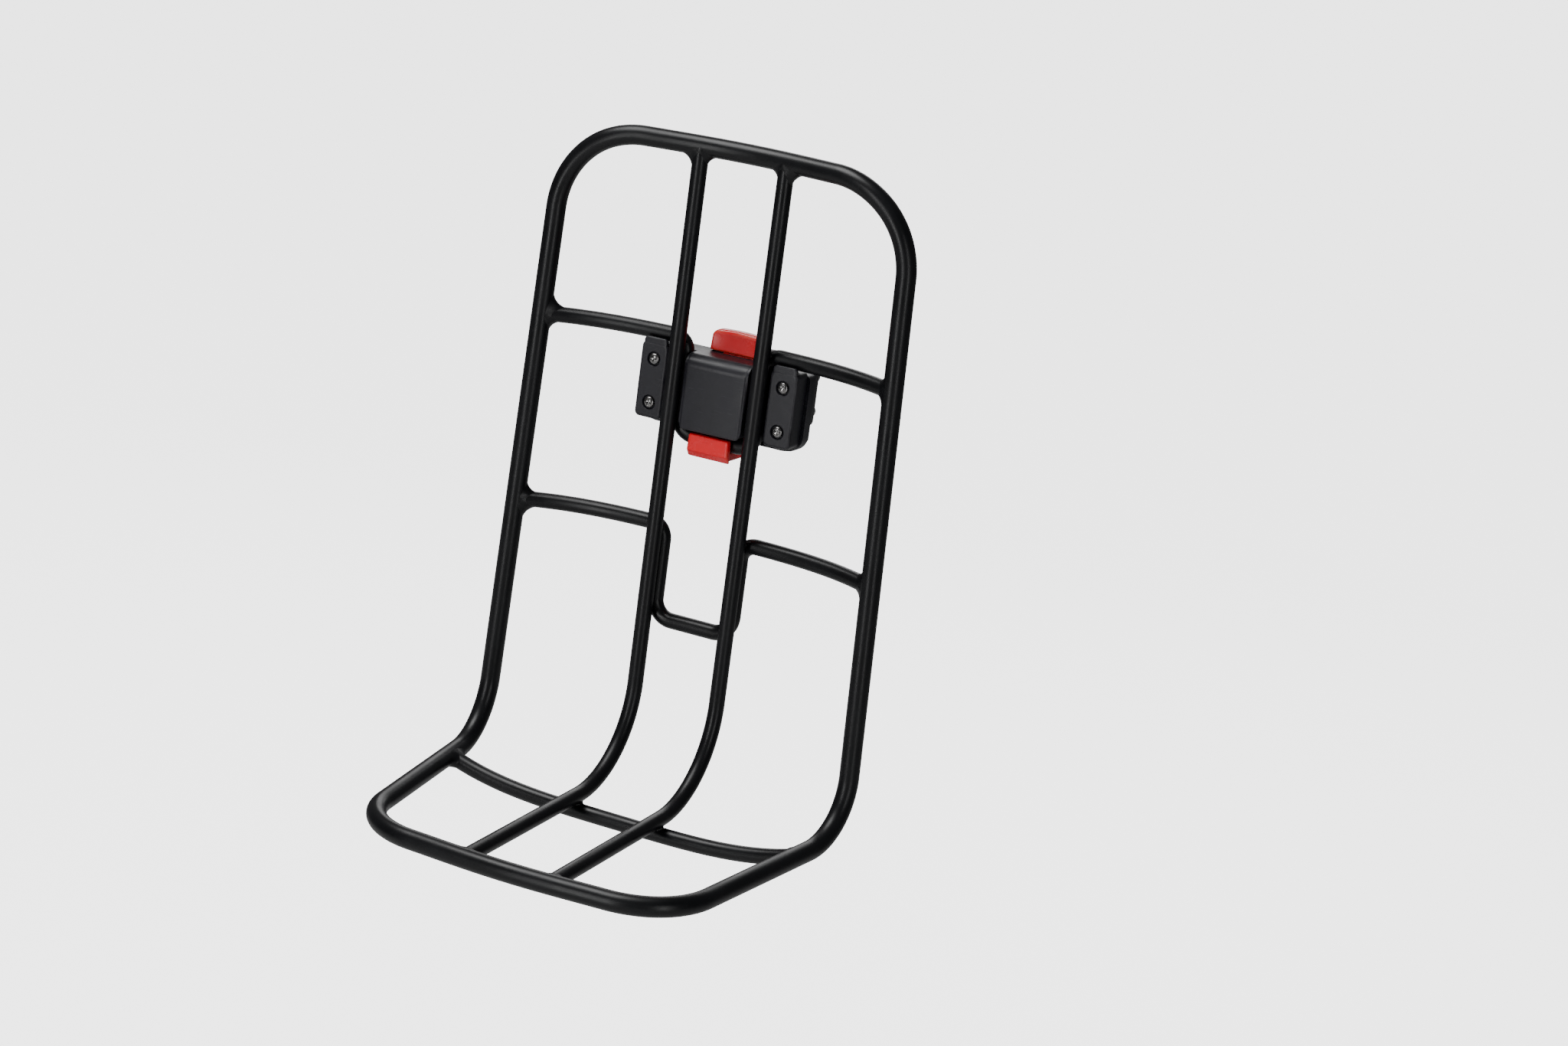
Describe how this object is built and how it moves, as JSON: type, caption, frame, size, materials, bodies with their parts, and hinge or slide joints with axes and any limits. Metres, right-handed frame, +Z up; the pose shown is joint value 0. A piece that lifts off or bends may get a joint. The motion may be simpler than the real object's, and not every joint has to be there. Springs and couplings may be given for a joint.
{
  "type": "handlebar basket",
  "caption": "Open tubular front carrier: an L-shaped hoop with inner and cross rods, on a quick-release plate and adapter that clamps round a bicycle's handlepost.",
  "frame": {"origin": "on the axis of the handlepost, halfway up the clamp", "axes": "+Z up along the handlepost, -Y forward (the shelf points this way), +X to the rider's left, which is the right as seen from in front; symmetric about X = 0"},
  "size_m": [0.2164, 0.2318, 0.3399],
  "materials": {
    "powder_coat": "satin black powder coat on steel tube",
    "plate_plastic": "fine-grained black moulded plastic",
    "adapter_plastic": "fine-grained black moulded plastic",
    "red_plastic": "glossy bright red moulded plastic",
    "liner_rubber": "matt black rubber",
    "black_screw": "black oxide steel",
    "zinc_steel": "bright zinc plate",
    "spring_steel": "bare spring steel"
  },
  "bodies": {
    "adapter": {"adapter_housing": "adapter_plastic", "clamp_strap": "adapter_plastic", "clamp_liner_front": "liner_rubber", "clamp_liner_rear": "liner_rubber", "return_spring": "spring_steel", "clamp_bolt_left_lower": "zinc_steel", "clamp_bolt_left_upper": "zinc_steel", "clamp_bolt_right_lower": "zinc_steel", "clamp_bolt_right_upper": "zinc_steel", "clamp_nut_left_lower": "zinc_steel", "clamp_nut_left_upper": "zinc_steel", "clamp_nut_right_lower": "zinc_steel", "clamp_nut_right_upper": "zinc_steel"},
    "latch": {"latch_hook": "red_plastic", "release_button": "red_plastic"},
    "carrier": {"outer_hoop": "powder_coat", "inner_rod_left": "powder_coat", "inner_rod_right": "powder_coat", "upper_cross_rod": "powder_coat", "lower_cross_rod": "powder_coat", "shelf_cross_rod": "powder_coat", "mount_plate": "plate_plastic", "clamp_cover_left": "plate_plastic", "clamp_cover_right": "plate_plastic", "plate_screw_left_lower": "black_screw", "plate_screw_left_upper": "black_screw", "plate_screw_right_lower": "black_screw", "plate_screw_right_upper": "black_screw", "plate_nut_left_lower": "zinc_steel", "plate_nut_left_upper": "zinc_steel", "plate_nut_right_lower": "zinc_steel", "plate_nut_right_upper": "zinc_steel"}
  },
  "joints": [
    {"name": "latch_press", "type": "slide", "parent": "adapter", "child": "latch", "axis": [0, 0, -1], "range_m": [0, 0.0075], "stiffness_N_per_m": 400, "springref_m": -0.004, "deforming": ["return_spring"]},
    {"name": "carrier_lift", "type": "slide", "parent": "adapter", "child": "carrier", "axis": [0, 0, 1], "range_m": [0, 0.06]}
  ]
}
